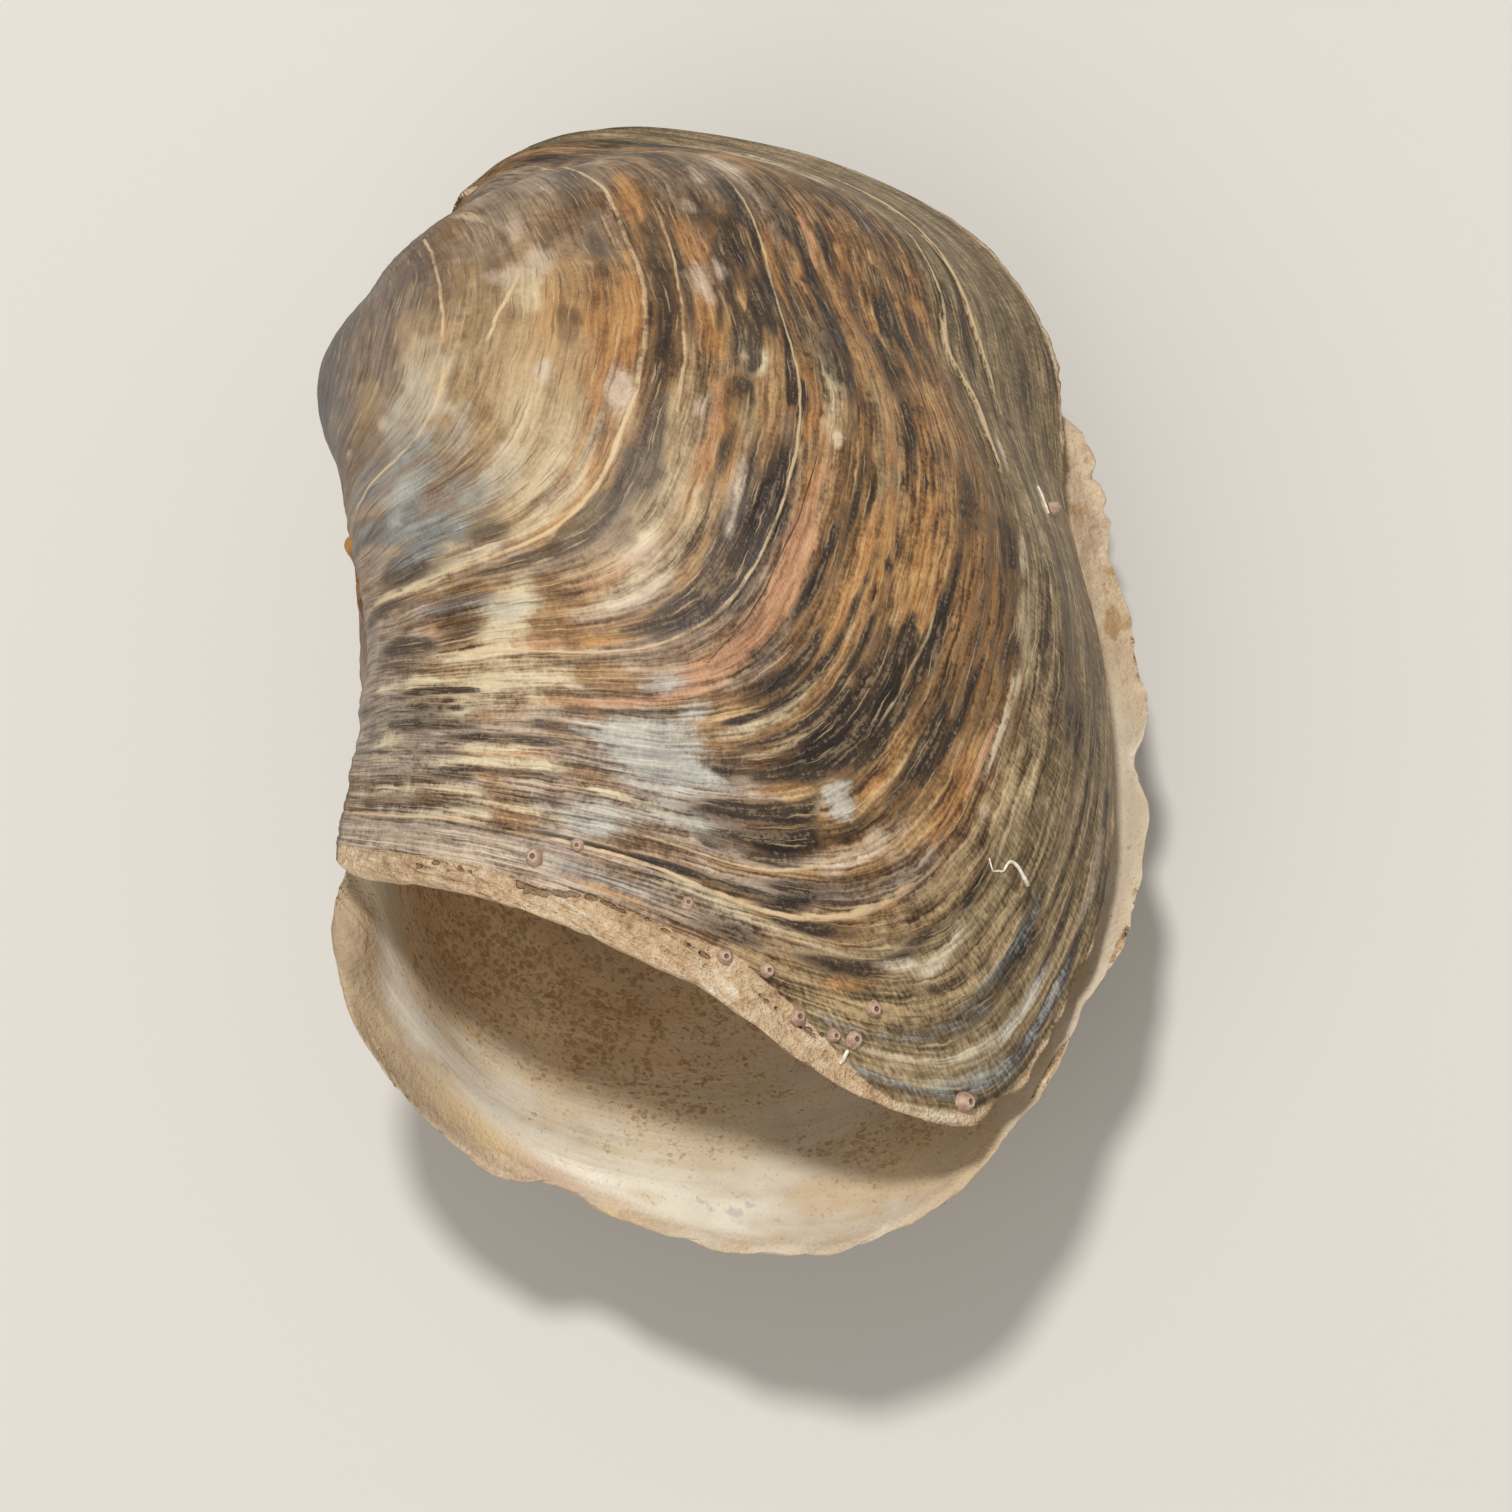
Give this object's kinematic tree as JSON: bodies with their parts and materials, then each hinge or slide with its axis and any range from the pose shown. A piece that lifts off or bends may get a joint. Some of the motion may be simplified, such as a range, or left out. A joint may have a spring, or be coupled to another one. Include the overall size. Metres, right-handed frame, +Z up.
{
  "type": "geoduck clam shell",
  "caption": "Pair of thick, deeply domed clam valves joined at the hinge, gaping wide at the rear, with barnacles and worm tubes on the upper valve.",
  "frame": {"origin": "on the resting plane, under the middle of the bounding box", "axes": "+X from the hinge to the belly edge, +Y from the gaping rear end to the front end, +Z up through the right valve, out of the face that the shell rests on"},
  "size_m": [0.1118, 0.1507, 0.0941],
  "materials": {
    "shell": "satin",
    "ligament": "satin",
    "barnacle": "matte",
    "worm_tube": "matte"
  },
  "bodies": {
    "root": {"right_valve": "shell", "left_valve": "shell", "ligament": "ligament", "barnacle_01": "barnacle", "barnacle_02": "barnacle", "barnacle_03": "barnacle", "barnacle_04": "barnacle", "barnacle_05": "barnacle", "barnacle_06": "barnacle", "barnacle_07": "barnacle", "barnacle_08": "barnacle", "barnacle_09": "barnacle", "barnacle_10": "barnacle", "barnacle_11": "barnacle", "worm_tube_1": "worm_tube", "worm_tube_2": "worm_tube", "worm_tube_3": "worm_tube"}
  },
  "joints": []
}
